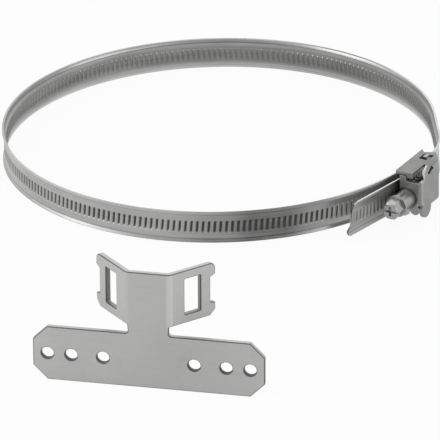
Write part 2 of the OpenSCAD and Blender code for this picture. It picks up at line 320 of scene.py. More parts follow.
def plate_finish(settings):
    """Satin sheet steel: fine rolling lines along the bar, faint clouds and small scuffs; the cut walls darker for
    sheared steel and painted shade, painted shade on the front edges and a painted highlight on one fold.
    """
    steel = Finish("plate_steel")
    place = steel.coordinates()
    lines = steel.noise(place, 900.0, 4.0, (0.12, 1.0, 1.0))
    clouds = steel.noise(place, 38.0)
    scuffs = steel.noise(place, 260.0, 6.0, (1.0, 0.35, 0.35))
    spots = steel.math("SMOOTH_MIN", scuffs.swing(6.0, 0.60), 1.0, 0.1)
    spots = steel.math("MAXIMUM", spots, 0.0)
    wear_and_painted_light = clouds.swing(0.12, 0.4) + lines.swing(0.04) + spots * 0.04
    # The stored cut marks: sheared walls and painted shade, painted shade on the front edges, a painted highlight
    # on the right fold.
    wear_and_painted_light = wear_and_painted_light + steel.stored("cut") * PLATE_CUT_AND_PAINTED_LIGHT + PLATE_SKIN
    base = steel.tint(settings.plate, 1.4, 0.05, wear_and_painted_light)
    rough = clouds.swing(0.10) + lines.swing(0.16) + settings.plate_rough
    return steel.steel(base, rough, steel.bump(lines, 0.05), PLATE_METAL)


def band_finish(settings):
    """Bright rolled strip: long fine lines, a duller skin here and there, pressed marks darkened by grime and
    painted shade, and painted shade and highlights by height, by face, round the ring and by the housing.
    """
    steel = Finish("band_steel")
    along = steel.node("ShaderNodeUVMap", {"uv_map": "strip"}).outputs[0]
    lines = steel.noise(along, 1.0, 4.0, (9.0, 2600.0, 1.0))
    skin = steel.noise(along, 1.0, 3.0, (40.0, 240.0, 1.0))
    specks = steel.noise(along, 1.0, 5.0, (1500.0, 1500.0, 1.0))
    pressed, inside, height, tail, painted_housing_shade = (
        steel.stored(name) for name in ("pressed", "inside", "height", "tail", "painted_housing_shade")
    )
    outside = 1.0 - inside

    # Zones over the strip's height, in mm from its middle, for painted shade and highlights.
    up, down, away = height / MM, height / -MM, abs(height) / MM
    flare = steel.ramp(away, 4.5, 5.0)
    crease = steel.ramp(away, 4.45, 4.62) - steel.ramp(away, 4.72, 4.95)
    top = steel.ramp(up, 5.8, 5.9)
    lower_flare = steel.ramp(down, 4.3, 5.0) * outside
    upper_flare = steel.ramp(up, 4.3, 4.9) * inside
    lower_wall = steel.ramp(down, 2.6, 4.8) * inside
    upper_wall = steel.ramp(up, 2.6, 4.2) * inside

    # Painted sheen of the outer face, in mm across: painted highlights at both sides, painted shade right of the
    # middle.
    side = steel.split(steel.coordinates())[0] / MM
    dim = steel.ramp(abs(side - 33.0), 16.0, 5.0)
    painted_sheen = steel.ramp(side, 18.0, 0.0) * 0.21 + steel.ramp(side, 48.0, 60.0) * 0.5 - dim * 0.22
    painted_sheen = painted_sheen * outside * (1.0 - tail * 0.8) * (1.0 - painted_housing_shade)

    wear_and_painted_light = skin.swing(0.34) + specks.swing(0.14) + lines.swing(0.36) + BAND_SKIN
    # Painted shade and light on the tone: the pressed marks darker by grime and painted shade, less on the tail;
    # painted shade on the inner face, by the housing, in the creases, on the lower outer and upper inner flares
    # and on the top edge; painted highlights on the flares, the inner walls, more at the right, and the tail's top
    # edge; and the painted sheen.
    for mask, amount in (
        (pressed, 0.66), (pressed * tail, -0.26),
        (inside, 0.1), (painted_housing_shade, 0.35), (crease, 0.2), (flare, -0.12),
        (lower_flare, 0.2), (upper_flare, 0.2), (upper_wall, -0.2),
        (lower_wall, -0.42), (lower_wall * steel.ramp(side, 40.0, 75.0), -0.25),
        (top, 0.15), (top * tail, -0.6), (painted_sheen, -1.0),
    ):
        wear_and_painted_light = wear_and_painted_light + mask * amount
    base = steel.tint(settings.band, 2.0, 0.2, wear_and_painted_light)
    rough = skin.swing(0.16) + lines.swing(0.14) + pressed * 0.12 + settings.band_rough
    return steel.steel(base, rough, steel.bump(lines, 0.12), BAND_METAL)


def pressed_finish(name, tone, rough):
    """Pressed or turned steel of the clamp's drive: fine grain, soft clouds, and the painted shade and painted
    highlights stored with its faces.
    """
    steel = Finish(name)
    place = steel.coordinates()
    grain = steel.noise(place, 1800.0, 4.0, (1.0, 1.0, 0.25))
    clouds = steel.noise(place, 170.0)
    # The stored cut marks are painted shade and painted highlights on the housing and the worm.
    wear_and_painted_light = clouds.swing(0.18, 0.42) + grain.swing(0.08) + steel.stored("cut") + PRESSED_SKIN
    base = steel.tint(tone, 1.6, 0.25, wear_and_painted_light)
    roughness = clouds.swing(0.18) + grain.swing(0.12) + rough
    return steel.steel(base, roughness, steel.bump(grain, 0.10), PRESSED_METAL)


# ---- mesh helpers

WELD = 0.002 * MM
SAME_PATCH = 0.99998
ROUND_CUTS = 6
STRAIGHT = 1e-4


def new_object(name, data):
    made = bpy.data.objects.new(name, data)
    bpy.context.scene.collection.objects.link(made)
    return made


def settle(piece):
    """Turns a piece with its modifiers into a plain mesh."""
    graph = bpy.context.evaluated_depsgraph_get()
    shown = piece.evaluated_get(graph)
    mesh = bpy.data.meshes.new_from_object(shown, preserve_all_data_layers=True, depsgraph=graph)
    old = piece.data
    piece.modifiers.clear()
    piece.data = mesh
    bpy.data.meshes.remove(old)


def add_modifier(piece, kind, **settings):
    made = piece.modifiers.new(kind.lower(), kind)
    for key, setting in settings.items():
        setattr(made, key, setting)


def pour(shape, mesh):
    """Writes a bmesh into a mesh and frees it."""
    shape.to_mesh(mesh)
    shape.free()


def smooth(piece):
    for face in piece.data.polygons:
        face.use_smooth = True


def flat_light(piece, limit=50.0):
    """Normals that keep flats flat: the largest patches within limit degrees decide a corner."""
    shape = bmesh.new()
    shape.from_mesh(piece.data)
    shape.faces.ensure_lookup_table()
    patch = list(range(len(shape.faces)))

    def root(k):
        while patch[k] != k:
            patch[k] = patch[patch[k]]
            k = patch[k]
        return k

    for edge in shape.edges:
        if len(edge.link_faces) == 2:
            one, two = edge.link_faces
            if one.normal.dot(two.normal) > SAME_PATCH:
                patch[root(one.index)] = root(two.index)
    area = {}
    for face in shape.faces:
        area[root(face.index)] = area.get(root(face.index), 0.0) + face.calc_area()
    least = math.cos(math.radians(limit))
    normals = []
    for face in shape.faces:
        for vertex in face.verts:
            faces = [f for f in vertex.link_faces if f.normal.dot(face.normal) > least]
            near = {root(f.index): f.normal for f in faces}
            total = sum((normal * area[key] for key, normal in near.items()), Vector())
            normals.append(total.normalized() if total.length > 0 else face.normal.copy())
    shape.free()
    smooth(piece)
    piece.data.normals_split_custom_set(normals)


def mark_faces(mesh, value):
    """Stores how much darker each face is drawn: painted shade and highlights, and on the plate's cut walls also
    sheared steel.
    """
    marks = mesh.attributes.new("cut", "FLOAT", "FACE").data
    for face, mark in zip(mesh.polygons, marks):
        mark.value = value(face)


def bare_copy(node, name):
    """A copy of a CAD node's mesh without its materials and stored normals."""
    mesh = frame["nodes"][node].data.copy()
    mesh.name = name
    mesh.materials.clear()
    stored = mesh.attributes.get("custom_normal")
    if stored is not None:
        mesh.attributes.remove(stored)
    return mesh


def rounded_copy(node, name, edge, spot, before=None):
    """A copy of a CAD node with its edges broken and its points moved by spot.

    spot takes a point's place in the clamp's axes and its way from the screw's axis.
    With before, only the part in front of that place along the screw is kept.
    """
    mesh = bare_copy(node, name)
    shape = bmesh.new()
    shape.from_mesh(mesh)
    bmesh.ops.remove_doubles(shape, verts=shape.verts, dist=WELD)
    for vertex in shape.verts:
        at = TO_CLAMP @ vertex.co
        vertex.co = CLAMP @ spot(at, Vector((at.x - SCREW_OUT, 0, at.z)))
    if before is not None:
        halves = bmesh.ops.bisect_plane(
            shape, geom=shape.verts[:] + shape.edges[:] + shape.faces[:], clear_outer=True,
            plane_co=CLAMP @ Vector((0, before, 0)), plane_no=CLAMP.col[1].to_3d(),
        )
        rim = [e for e in halves["geom_cut"] if isinstance(e, bmesh.types.BMEdge)]
        bmesh.ops.holes_fill(shape, edges=rim, sides=0)
    bmesh.ops.dissolve_limit(
        shape, angle_limit=math.radians(0.5), verts=shape.verts, edges=shape.edges
    )
    pour(shape, mesh)
    piece = new_object(name, mesh)
    smooth(piece)
    add_modifier(
        piece, "BEVEL", width=edge, segments=2, limit_method="ANGLE", use_clamp_overlap=False,
        angle_limit=math.radians(35), miter_outer="MITER_ARC",
    )
    settle(piece)
    flat_light(piece)
    return piece


def pressed_copy(node, name):
    """A copy of a CAD node whose edges are all rounded, as those of pressed sheet are."""
    mesh = bare_copy(node, name)
    mesh.transform(TO_CLAMP)
    piece = new_object(name, mesh)
    add_modifier(
        piece, "REMESH", mode="SHARP", octree_depth=8, scale=0.95, use_remove_disconnected=False
    )
    add_modifier(piece, "SMOOTH", factor=0.5, iterations=3)
    add_modifier(piece, "DECIMATE", decimate_type="COLLAPSE", ratio=0.4)
    settle(piece)
    piece.data.transform(CLAMP)
    smooth(piece)
    return piece


def within(value, low=0.0, high=1.0):
    return max(low, min(high, value))


def dress(piece, material, body, node):
    """Gives a finished piece its material and its body, and hides the CAD node that it stands for."""
    piece.data.materials.clear()
    piece.data.materials.append(material)
    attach(piece, body)
    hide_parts(node)


def corner(before, at, after, radius):
    """Points of a rounded corner of an outline."""
    before, at, after = Vector(before), Vector(at), Vector(after)
    back, ahead = (before - at).normalized(), (after - at).normalized()
    half = back.angle(ahead) / 2
    if abs(half - math.pi / 2) < STRAIGHT:
        return [at]
    reach = radius / math.tan(half)
    middle = at + (back + ahead).normalized() * (radius / math.sin(half))
    start, end = at + back * reach - middle, at + ahead * reach - middle
    sweep = math.atan2(start.x * end.y - start.y * end.x, start.dot(end))
    turns = [Matrix.Rotation(sweep * k / ROUND_CUTS, 2) for k in range(ROUND_CUTS + 1)]
    return [middle + turn @ start for turn in turns]


def outline(corners):
    """Closed outline from corners given as (x, y, radius)."""
    points = []
    for k, (x, y, radius) in enumerate(corners):
        before, after = corners[k - 1][:2], corners[(k + 1) % len(corners)][:2]
        points += corner(before, (x, y), after, radius)
    return [p for k, p in enumerate(points) if (p - points[k - 1]).length > 1e-6]


# ---- plate

FOLD = math.radians(45)
FOLD_INNER = 1.0 * MM
FOLD_CUTS = 10
RISE_CUTS = (0.0, 0.33, 0.67, 1.0)
BAR_ROUND, NECK_ROUND, WING_ROUND, NOTCH_ROUND = 0.5 * MM, 1.0 * MM, 0.4 * MM, 0.35 * MM
HORN = 2.1 * MM
NOTCH, NOTCH_HALF = 2.0 * MM, 4.7 * MM
NOTCH_FLANKS = (0.4 * MM, 0.73 * MM)
HOLE_SIDES = 40
# How much darker the faces are drawn: walls of the holes, slots and outline, for sheared steel and painted shade;
# painted shade on the front rounded edges; a painted highlight on one fold.
HOLE_SHEAR_AND_SHADE, SLOT_SHEAR_AND_SHADE, OUTLINE_SHEAR_AND_SHADE, EDGE_PAINTED_SHADE, FOLD_PAINTED_HIGHLIGHT = 1.0, 0.5, 0.08, 0.9, -0.2
WALL_LEAN, SIDE_LEAN = 0.3, 0.95
MARGIN, END_MARGIN = 0.1 * MM, 1 * MM


class FoldedSheet:
    """The plate's flat pattern, and the map that folds it."""

    def __init__(self, size):
        self.size = size
        self.outer = FOLD_INNER + size.sheet
        self.back = self.outer * math.tan(FOLD / 2)
        self.strip = size.bend / 2 - self.back
        self.arc = (FOLD_INNER + size.sheet / 2) * FOLD
        self.wing_low = size.bar_height + size.neck_height
        self.middle = self.wing_low + size.wing_height / 2
        self.slot = [self.along(at) for at in (size.slot_in, size.slot_in + size.slot_width)]

    def along(self, distance):
        """Place in the flat pattern of a point at that distance from the bend line."""
        return self.strip + self.arc + distance - self.back

    def loops(self):
        """The sheet's outline, then its slots and holes."""
        size, tip = self.size, self.along(self.size.wing)
        half, cut, bar = size.bar / 2, size.cut, size.bar_height
        low, high = self.middle - NOTCH_HALF, self.middle + NOTCH_HALF
        right = [
            (half - cut, 0, BAR_ROUND), (half, cut, BAR_ROUND),
            (half, bar - cut, BAR_ROUND), (half - cut, bar, BAR_ROUND),
            (size.neck / 2, bar, NECK_ROUND), (size.neck / 2, self.wing_low, WING_ROUND),
            (tip - HORN, self.wing_low, WING_ROUND), (tip, self.wing_low + HORN, WING_ROUND),
            (tip, low - NOTCH_FLANKS[0], NOTCH_ROUND), (tip - NOTCH, low, NOTCH_ROUND),
            (tip - NOTCH, high, NOTCH_ROUND), (tip, high + NOTCH_FLANKS[1], NOTCH_ROUND),
            (tip, self.wing_low + size.wing_height, HORN),
        ]
        left = [(-x, y, radius) for x, y, radius in reversed(right)]
        loops = [outline(right + left)]
        (inner, far), rise = self.slot, size.slot_height / 2
        low, high = self.middle - rise, self.middle + rise
        turns = [math.tau * k / HOLE_SIDES for k in range(HOLE_SIDES)]
        for side in (-1, 1):
            slot = ((inner, low), (far, low), (far, high), (inner, high))
            loops.append(outline([(side * x, y, WING_ROUND) for x, y in slot]))
            for name in ("bolts_inner", "bolts_middle", "bolts_outer"):
                at = side * MOUNTS[name]["dims"]["spacing_x_mm"] * MM / 2
                loops.append([
                    Vector((at + size.hole * math.cos(a), bar / 2 + size.hole * math.sin(a)))
                    for a in turns
                ])
        return loops

    def tone_and_painted_light(self, spot, lean):
        """How much darker a face is drawn, by sheared steel and painted shade, or lighter by a painted highlight;
        lean is 0 on the cut walls and 1 on the sheet's two sides.
        """
        size, (s, height, depth) = self.size, spot
        # A painted highlight on the right fold.
        if lean > SIDE_LEAN:
            folded = height > self.wing_low and 0 < s - self.strip < self.arc
            return FOLD_PAINTED_HIGHLIGHT if folded else 0.0
        # Painted shade on the front rounded edges.
        if lean >= WALL_LEAN:
            return EDGE_PAINTED_SHADE if depth < size.sheet / 2 else 0.0
        # Walls of holes, slots and outline: darker for sheared steel and painted shade.
        far, off = abs(s), abs(height - self.middle)
        if abs(height - size.bar_height / 2) < size.hole * 1.1 and far < size.bar / 2 - END_MARGIN:
            return HOLE_SHEAR_AND_SHADE
        slot = self.slot[0] - MARGIN < far < self.slot[1] + MARGIN
        return SLOT_SHEAR_AND_SHADE if slot and off < size.slot_height / 2 + MARGIN else OUTLINE_SHEAR_AND_SHADE

    def place(self, s, height, depth):
        """Where a point of the flat pattern lies on the folded plate."""
        side, run = (-1 if s < 0 else 1), abs(s) - self.strip
        flat = Vector((s, depth, height))
        if run <= 0:
            return flat
        radius = self.outer - depth
        turn = min(run / self.arc, 1.0) * FOLD
        rest = max(run - self.arc, 0.0)
        folded = Vector((
            side * (self.strip + radius * math.sin(turn) + rest * math.cos(FOLD)),
            self.outer - radius * math.cos(turn) + rest * math.sin(FOLD),
            height,
        ))
        rise = within((height - self.size.bar_height) / self.size.neck_height)
        return flat.lerp(folded, rise * rise * (3 - 2 * rise))


def inset(loop, hole):
    """For each point of a loop, the way into the sheet that moves its edges by one unit."""
    ahead = [(loop[(k + 1) % len(loop)] - point).normalized() for k, point in enumerate(loop)]
    area = sum(p.x * q.y - p.y * q.x for p, q in zip(loop, loop[1:] + loop[:1]))
    side = 1.0 if (area > 0) != hole else -1.0
    ways = []
    for k, way in enumerate(ahead):
        one, two = (Vector((-w.y, w.x)) * side for w in (ahead[k - 1], way))
        ways.append((one + two) / (1.0 + one.dot(two)))
    return ways


def sheet_body(loops, thick, edge):
    """A flat sheet inside the first loop and outside the others, with rounded edges and Z as depth."""
    shape = bmesh.new()
    steps = [(edge, 0.0), (edge * 0.3, edge * 0.3), (0.0, edge)]
    levels = steps + [(into, thick - depth) for into, depth in reversed(steps)]
    faces = ([], [])
    for loop in loops:
        ways = inset(loop, loop is not loops[0])
        rings = [
            [shape.verts.new((*(point + way * into), depth)) for point, way in zip(loop, ways)]
            for into, depth in levels
        ]
        for ring, following in zip(rings, rings[1:]):
            for k in range(len(loop)):
                shape.faces.new((ring[k - 1], ring[k], following[k], following[k - 1]))
        for rim, ring in zip(faces, (rings[0], rings[-1])):
            rim += [shape.edges.get((ring[k - 1], ring[k])) for k in range(len(loop))]
    for rim in faces:
        bmesh.ops.triangle_fill(shape, use_beauty=True, use_dissolve=False, edges=rim)
    bmesh.ops.recalc_face_normals(shape, faces=shape.faces[:])
    return shape


def cut_across(mesh, planes):
    """Cuts a mesh along planes given as (point, normal), so that it can bend there."""
    shape = bmesh.new()
    shape.from_mesh(mesh)
    for point, normal in planes:
        everything = shape.verts[:] + shape.edges[:] + shape.faces[:]
        bmesh.ops.bisect_plane(shape, geom=everything, dist=1e-7, plane_co=point, plane_no=normal)
    bmesh.ops.triangulate(shape, faces=[f for f in shape.faces if len(f.verts) > 4])
    pour(shape, mesh)


class BRACKET_OT_plate(bpy.types.Operator):
    """Build the folded plate from its flat pattern"""

    bl_idname = "bracket.plate"
    bl_label = "Folded plate"

    def execute(self, context):
        size = context.scene.bracket_plate_sizes
        sheet = FoldedSheet(size)
        mesh = bpy.data.meshes.new("folded_plate")
        pour(sheet_body(sheet.loops(), size.sheet, size.edge), mesh)
        piece = new_object("folded_plate", mesh)
        folds = [sheet.strip + sheet.arc * k / FOLD_CUTS for k in range(FOLD_CUTS + 1)]
        cuts = [((side * at, 0, 0), (1, 0, 0)) for side in (-1, 1) for at in folds]
        for part in RISE_CUTS:
            cuts.append(((0, size.bar_height + size.neck_height * part, 0), (0, 1, 0)))
        cut_across(mesh, cuts)
        mark_faces(mesh, lambda face: sheet.tone_and_painted_light(face.center, abs(face.normal.z)))
        origin = Vector((PLATE_AT.x, PLATE_AT.y, FLOOR_Z))
        for vertex in mesh.vertices:
            s, height, depth = vertex.co
            vertex.co = origin + sheet.place(s, height, depth)
        flat_light(piece)
        finish = plate_finish(context.scene.bracket_finishes)
        dress(piece, finish, "root", "bracket_plate")
        return {"FINISHED"}


# ---- band

LIFT_TURN = math.radians(32)
TAIL_TURN = math.radians(10)
TAIL_BEND = 20 * MM
FIXED_OVERLAP = 9 * MM
RUN_UNDER = 12 * MM
SLANT = 0.093
# The tail's pointed lip: its length, the heights between which it tapers, its round tip.
LIP, LIP_LOW, LIP_HIGH, LIP_ROUND = 2.3 * MM, 1.7 * MM, 3.45 * MM, 0.5 * MM
# Painted shade on the outer face by the housing: its place before the strip's end, its reach both ways, how
# steeply it fades.
PAINTED_SHADE_AT, PAINTED_SHADE_AHEAD, PAINTED_SHADE_BEHIND, PAINTED_SHADE_STEEP = 42 * MM, 18 * MM, 8 * MM, 3
TAIL_FADE = 2 * MM
PLAIN_START, PLAIN_END = 3 * MM, 1.2 * MM
# Rows of points in each pitch of the thread, as shares of the pitch.
PRESS_ROWS = (0.0, 0.24, 0.33, 0.42, 0.58, 0.67, 0.76)
END_ROWS = 60
STRIP_LAYERS = ("run", "height", "pressable", "inside", "painted_housing_shade", "tail")
# A mark's flank as shares of its width, and its upper and lower ends.
MARK_FLANK = (0.22, 0.58)
MARK_END = (0.45 * MM, 0.1 * MM)
# The worm's flank as shares of its pitch, and the length over which it runs out.
CREST_FLANK, RUNOUT = (0.13, 0.33), 0.7 * MM
FLARE_SOFT = 0.45 * MM
RIM = 0.04 * MM
RIM_ROUND = 0.15 * MM


def towards(angle):
    return Vector((math.cos(angle), math.sin(angle)))


class StripPath:
    """The line of the band's inner face, from its fixed end round the mast to the tail."""

    def __init__(self, size):
        radius = size.radius
        fixed = math.asin(FIXED_OVERLAP / radius)
        lift = size.strap_out - radius * math.cos(LIFT_TURN)
        lift = (lift - size.lift_radius * (1 - math.cos(LIFT_TURN))) / math.sin(LIFT_TURN)
        under = (radius - size.lift_radius) * math.sin(LIFT_TURN) - lift * math.cos(LIFT_TURN)
        legs = [
            (radius, math.tau - LIFT_TURN + fixed), (None, lift), (size.lift_radius, LIFT_TURN),
            (None, under + RUN_UNDER), (TAIL_BEND, TAIL_TURN), (None, size.tail),
        ]
        self.legs = []
        angle, at, run = fixed, towards(fixed) * radius, 0.0
        for bend, amount in legs:
            reach = amount if bend is None else bend * amount
            self.legs.append((run, reach, bend, angle, at.copy()))
            at, angle = self.step(bend, angle, at, reach)
            run += reach
        self.total = run

    @staticmethod
    def step(bend, angle, at, reach):
        outward = towards(angle)
        if bend is None:
            return at + Vector((outward.y, -outward.x)) * reach, angle
        turned = angle - reach / bend
        return at - outward * bend + towards(turned) * bend, turned

    def at(self, run):
        """Point and outward direction at that distance along the strip."""
        start, _, bend, angle, point = next(
            leg for leg in self.legs if run <= leg[0] + leg[1] or leg is self.legs[-1]
        )
        point, angle = self.step(bend, angle, point, run - start)
        return point, towards(angle)


def strip_section(size):
    """Section of the flared strip, a closed loop of (outward, up), its inner face first."""
    half, wall = size.height / 2, size.height / 2 - size.flare_height
    mark, soft = size.mark_height / 2, FLARE_SOFT

    def lean(z):
        over, slope = abs(z) - wall, size.flare_out / size.flare_height
        if over < -soft:
            return 0.0
        return slope * (over + soft) ** 2 / (4 * soft) if over < soft else slope * over

    side = [
        half - RIM_ROUND, half - 0.5 * MM,
        wall + soft, wall + soft * 0.3, wall - soft * 0.3, wall - soft,
        3.2 * MM, mark + 0.12 * MM, mark - 0.12 * MM, mark - 0.45 * MM, 0.0,
    ]
    side += [-z for z in reversed(side[:-1])]
    inner = [(lean(z), z) for z in reversed(side)]
    outer = [(lean(z) + size.sheet, z) for z in side]
    tip = lean(half)
    edge = [
        (tip + RIM, half - RIM), (tip + RIM_ROUND, half),
        (tip + size.sheet - RIM_ROUND, half), (tip + size.sheet - RIM, half - RIM),
    ]
    return inner + edge + outer + [(x, -z) for x, z in reversed(edge)]


def strip_end(size, end, z):
    """How far the strip reaches at that height: a round upper corner, a pointed lower lip."""
    half = size.height / 2
    if z > half - size.tail_round:
        up = (z - half + size.tail_round) / size.tail_round
        return end - LIP - size.tail_round * (1 - math.sqrt(max(0.0, 1 - up * up)))
    low = z + half
    if low > LIP_LOW:
        return end - LIP + LIP * max(0.0, (LIP_HIGH - low) / (LIP_HIGH - LIP_LOW))
    return end - max(0.0, LIP_ROUND - low)


def strip_mesh(size):
    """The flared strip along its path; each point knows what the press and the finish need."""
    path, section = StripPath(size), strip_section(size)
    end, mark, count = path.total, size.mark_height / 2, len(section)
    turns = range(int(end / size.pitch) + 1)
    runs = [(turn + part) * size.pitch for turn in turns for part in PRESS_ROWS]
    shape = bmesh.new()
    layers = {name: shape.verts.layers.float.new(name) for name in STRIP_LAYERS}
    outward_layer = shape.verts.layers.float_vector.new("outward")
    rows = []
    for run in [run for run in runs if run < end] + [end]:
        rows.append([])
        for j, (out, z) in enumerate(section):
            lean, last = SLANT * within(z, -mark, mark), strip_end(size, end, z)
            reach = max(0.0, min(run - lean, last))
            point, outward = path.at(reach)
            spot = point + outward * out
            outside = 0.0 if j < count // 2 - 4 else 1.0
            # Painted shade on the outer face by the housing, fading both ways from its middle.
            past = reach - (end - PAINTED_SHADE_AT)
            near = 1.0 - abs(past) / (PAINTED_SHADE_AHEAD if past > 0 else PAINTED_SHADE_BEHIND)
            vertex = shape.verts.new(CLAMP @ Vector((spot.x, spot.y, z)))
            for name, value in zip(STRIP_LAYERS, (
                reach + lean, z, 1.0 if PLAIN_START < reach < last - PLAIN_END else 0.0,
                1.0 - outside, within(near * PAINTED_SHADE_STEEP) * outside,
                within((reach - end + size.tail + TAIL_FADE) / TAIL_FADE),
            )):
                vertex[layers[name]] = value
            vertex[outward_layer] = CLAMP.to_3x3() @ Vector((outward.x, outward.y, 0.0))
            rows[-1].append(vertex)
    for row, following in zip(rows, rows[1:]):
        for j in range(count):
            n = (j + 1) % count
            shape.faces.new((row[j], row[n], following[n], following[j])).smooth = True
    shape.faces.new(rows[0])
    shape.faces.new(list(reversed(rows[-1])))
    bmesh.ops.remove_doubles(shape, verts=shape.verts[-END_ROWS * count:], dist=WELD)
    uv = shape.loops.layers.uv.new("strip")
    for face in shape.faces:
        for loop in face.loops:
            loop[uv].uv = (loop.vert[layers["run"]], loop.vert[layers["height"]])
    bmesh.ops.recalc_face_normals(shape, faces=shape.faces[:])
    mesh = bpy.data.meshes.new("band_strip")
    pour(shape, mesh)
    return mesh


class GeometryTree(Nodes):
    """A geometry node group with named number inputs, built node by node."""

    def __init__(self, name, inputs):
        self.tree = bpy.data.node_groups.new(name, "GeometryNodeTree")
        face = self.tree.interface
        face.new_socket("Geometry", in_out="INPUT", socket_type="NodeSocketGeometry")
        for key in inputs:
            face.new_socket(key, in_out="INPUT", socket_type="NodeSocketFloat")
        face.new_socket("Geometry", in_out="OUTPUT", socket_type="NodeSocketGeometry")
        given = self.tree.nodes.new("NodeGroupInput").outputs
        self.geometry = given["Geometry"]
        self.given = [Value(self, given[key]) for key in inputs]

    def named(self, name, kind="FLOAT"):
        made = self.node("GeometryNodeInputNamedAttribute", {"data_type": kind}, {"Name": name})
        return Value(self, next(o for o in made.outputs if o.enabled and o.name == "Attribute"))

    def vector(self, operation, sockets):
        return self.node("ShaderNodeVectorMath", {"operation": operation}, sockets).outputs[0]

    def close(self, geometry, offset, material):
        """Moves the points and ends the group in real geometry with its material."""
        for kind, sockets in (
            ("GeometryNodeSetPosition", {"Offset": offset}),
            ("GeometryNodeRealizeInstances", {}),
            ("GeometryNodeSetMaterial", {"Material": material}),
        ):
            geometry = self.node(kind, None, {"Geometry": geometry, **sockets}).outputs[0]
        self.tree.links.new(geometry, self.tree.nodes.new("NodeGroupOutput").inputs[0])
        return self.tree


def press_tree(material):
    """Presses the thread's marks into a strip that knows its own run and height."""
    tree = GeometryTree("press_marks", ("Pitch", "Mark height", "Mark width", "Depth"))
    pitch, height, width, depth = tree.given
    phase = tree.math("FRACT", tree.named("run") / pitch)
    off = abs(phase - 0.5) * pitch
    across = tree.ramp(off, width * MARK_FLANK[0], width * MARK_FLANK[1], 1.0, 0.0)
    half, away = height / 2.0, abs(tree.named("height"))
    upright = tree.ramp(away, half - MARK_END[0], half + MARK_END[1], 1.0, 0.0)
    mask = across * upright * tree.named("pressable")
    # The stored marks, which the band darkens with grime and painted shade, are weaker on the inner face.
    kept = tree.node(
        "GeometryNodeStoreNamedAttribute", {"data_type": "FLOAT", "domain": "POINT"}, {
            "Geometry": tree.geometry, "Name": "pressed",
            "Value": mask * (1.0 - tree.named("inside") * 0.8),
        },
    )
    push = {0: tree.named("outward", "FLOAT_VECTOR"), "Scale": mask * depth * -1.0}
    return tree.close(kept.outputs[0], tree.vector("SCALE", push), material)


def worm_tree(material):
    """A right-hand worm along Z: a fine cylinder whose radius rises and falls with the thread."""
    tree = GeometryTree("worm_thread", ("Root radius", "Depth", "Pitch", "Length"))
    root, depth, pitch, reach = tree.given
    rod = tree.node("GeometryNodeMeshCylinder", None, {
        "Vertices": 96, "Side Segments": 240, "Radius": root, "Depth": reach,
    })
    x, y, z = tree.split(tree.node("GeometryNodeInputPosition").outputs[0])
    turn = tree.math("ARCTAN2", y, x) / math.tau
    phase = tree.math("FRACT", z / pitch - turn)
    crest = tree.ramp(abs(phase - 0.5), *CREST_FLANK, 1.0, 0.0)
    end = reach / 2.0
    runout = tree.ramp(abs(z), end - RUNOUT, end, 1.0, 0.0)
    off_axis = tree.math("GREATER_THAN", x * x + y * y, 1e-8)
    flat = tree.node("ShaderNodeCombineXYZ", None, {"X": x, "Y": y}).outputs[0]
    rise = {0: tree.vector("NORMALIZE", {0: flat}), "Scale": crest * runout * off_axis * depth}
    return tree.close(rod.outputs["Mesh"], tree.vector("SCALE", rise), material)


def grow(piece, tree, values):
    """Runs a node group with its named inputs on a piece and keeps the result."""
    made = piece.modifiers.new(tree.name, "NODES")
    made.node_group = tree
    for item in tree.interface.items_tree:
        if item.in_out == "INPUT" and item.name in values:
            made[item.identifier] = values[item.name]
    settle(piece)


class BRACKET_OT_band(bpy.types.Operator):
    """Roll the band round the mast and press its thread"""

    bl_idname = "bracket.band"
    bl_label = "Band"

    def execute(self, context):
        size = context.scene.bracket_band_sizes
        piece = new_object("band_strip", strip_mesh(size))
        finish = band_finish(context.scene.bracket_finishes)
        grow(piece, press_tree(finish), {
            "Pitch": size.pitch, "Mark height": size.mark_height,
            "Mark width": size.mark_width, "Depth": size.mark_depth,
        })
        dress(piece, finish, "root", "band")
        return {"FINISHED"}


# ---- saddle, housing and screw

# Where the sleeve's flange, its lock tab and the screw's head begin, in the clamp's axes.
FLANGE_AT, FLANGE_RADIUS, FLANGE_SLIM = -26.9 * MM, 3.9 * MM, 0.08
TAB_AT, TAB_OUT, TAB_TOP = -24.9 * MM, 2.9 * MM, -0.9 * MM
HEAD_AT, HEAD_RADIUS, HEAD_SLIM = -27.7 * MM, 2.5 * MM, 0.06
HEAD_BACK = (-28.2 * MM, -27.6 * MM)
SHIFT = Vector((0, 1.6 * MM, 0))
SLEEVE_EDGE, SCREW_EDGE = 0.12 * MM, 0.10 * MM
# The worm is drawn darker all over with painted shade.
WORM_FLAT, WORM_PAINTED_SHADE = 38.0, 0.4
# Painted shade (above 0) and painted highlights (below 0) on the housing's parts: roof, bearing hole, front wall's
# top edges, rim beside the worm, and painted reflections on the fold by the turn of its faces in degrees.
ROOF_PAINTED_SHADE, BEARING_PAINTED_SHADE, WALL_EDGE_PAINTED_HIGHLIGHT, RIM_PAINTED_HIGHLIGHT = 0.28, 0.35, -0.35, -0.44
CORNER_PAINTED_REFLECTION = ((15, 45, 0.16), (45, 80, -0.12))
ROOF_SHEET, WALL_TOP, WALL_BACK = 0.6 * MM, 5 * MM, -16.7 * MM
BEARING_RADIUS = 4.25 * MM
RIM_LINE = ((0.4, -17.4), (0.4, -16.0), (1.5, -14.6), (3.0, -9.2))
RIM_HIGH, RIM_IN, RIM_WIDTH = 6.7 * MM, 4 * MM, 0.75 * MM


def sleeve_spot(at, away):
    """Moves the sleeve's flange and lock tab back, and makes the flange a little narrower."""
    flange = at.y < FLANGE_AT
    tab = at.y < TAB_AT and away.x > TAB_OUT and away.z < TAB_TOP
    if flange and away.length > FLANGE_RADIUS:
        at = at - away * FLANGE_SLIM
    return at + SHIFT if tab or flange else at


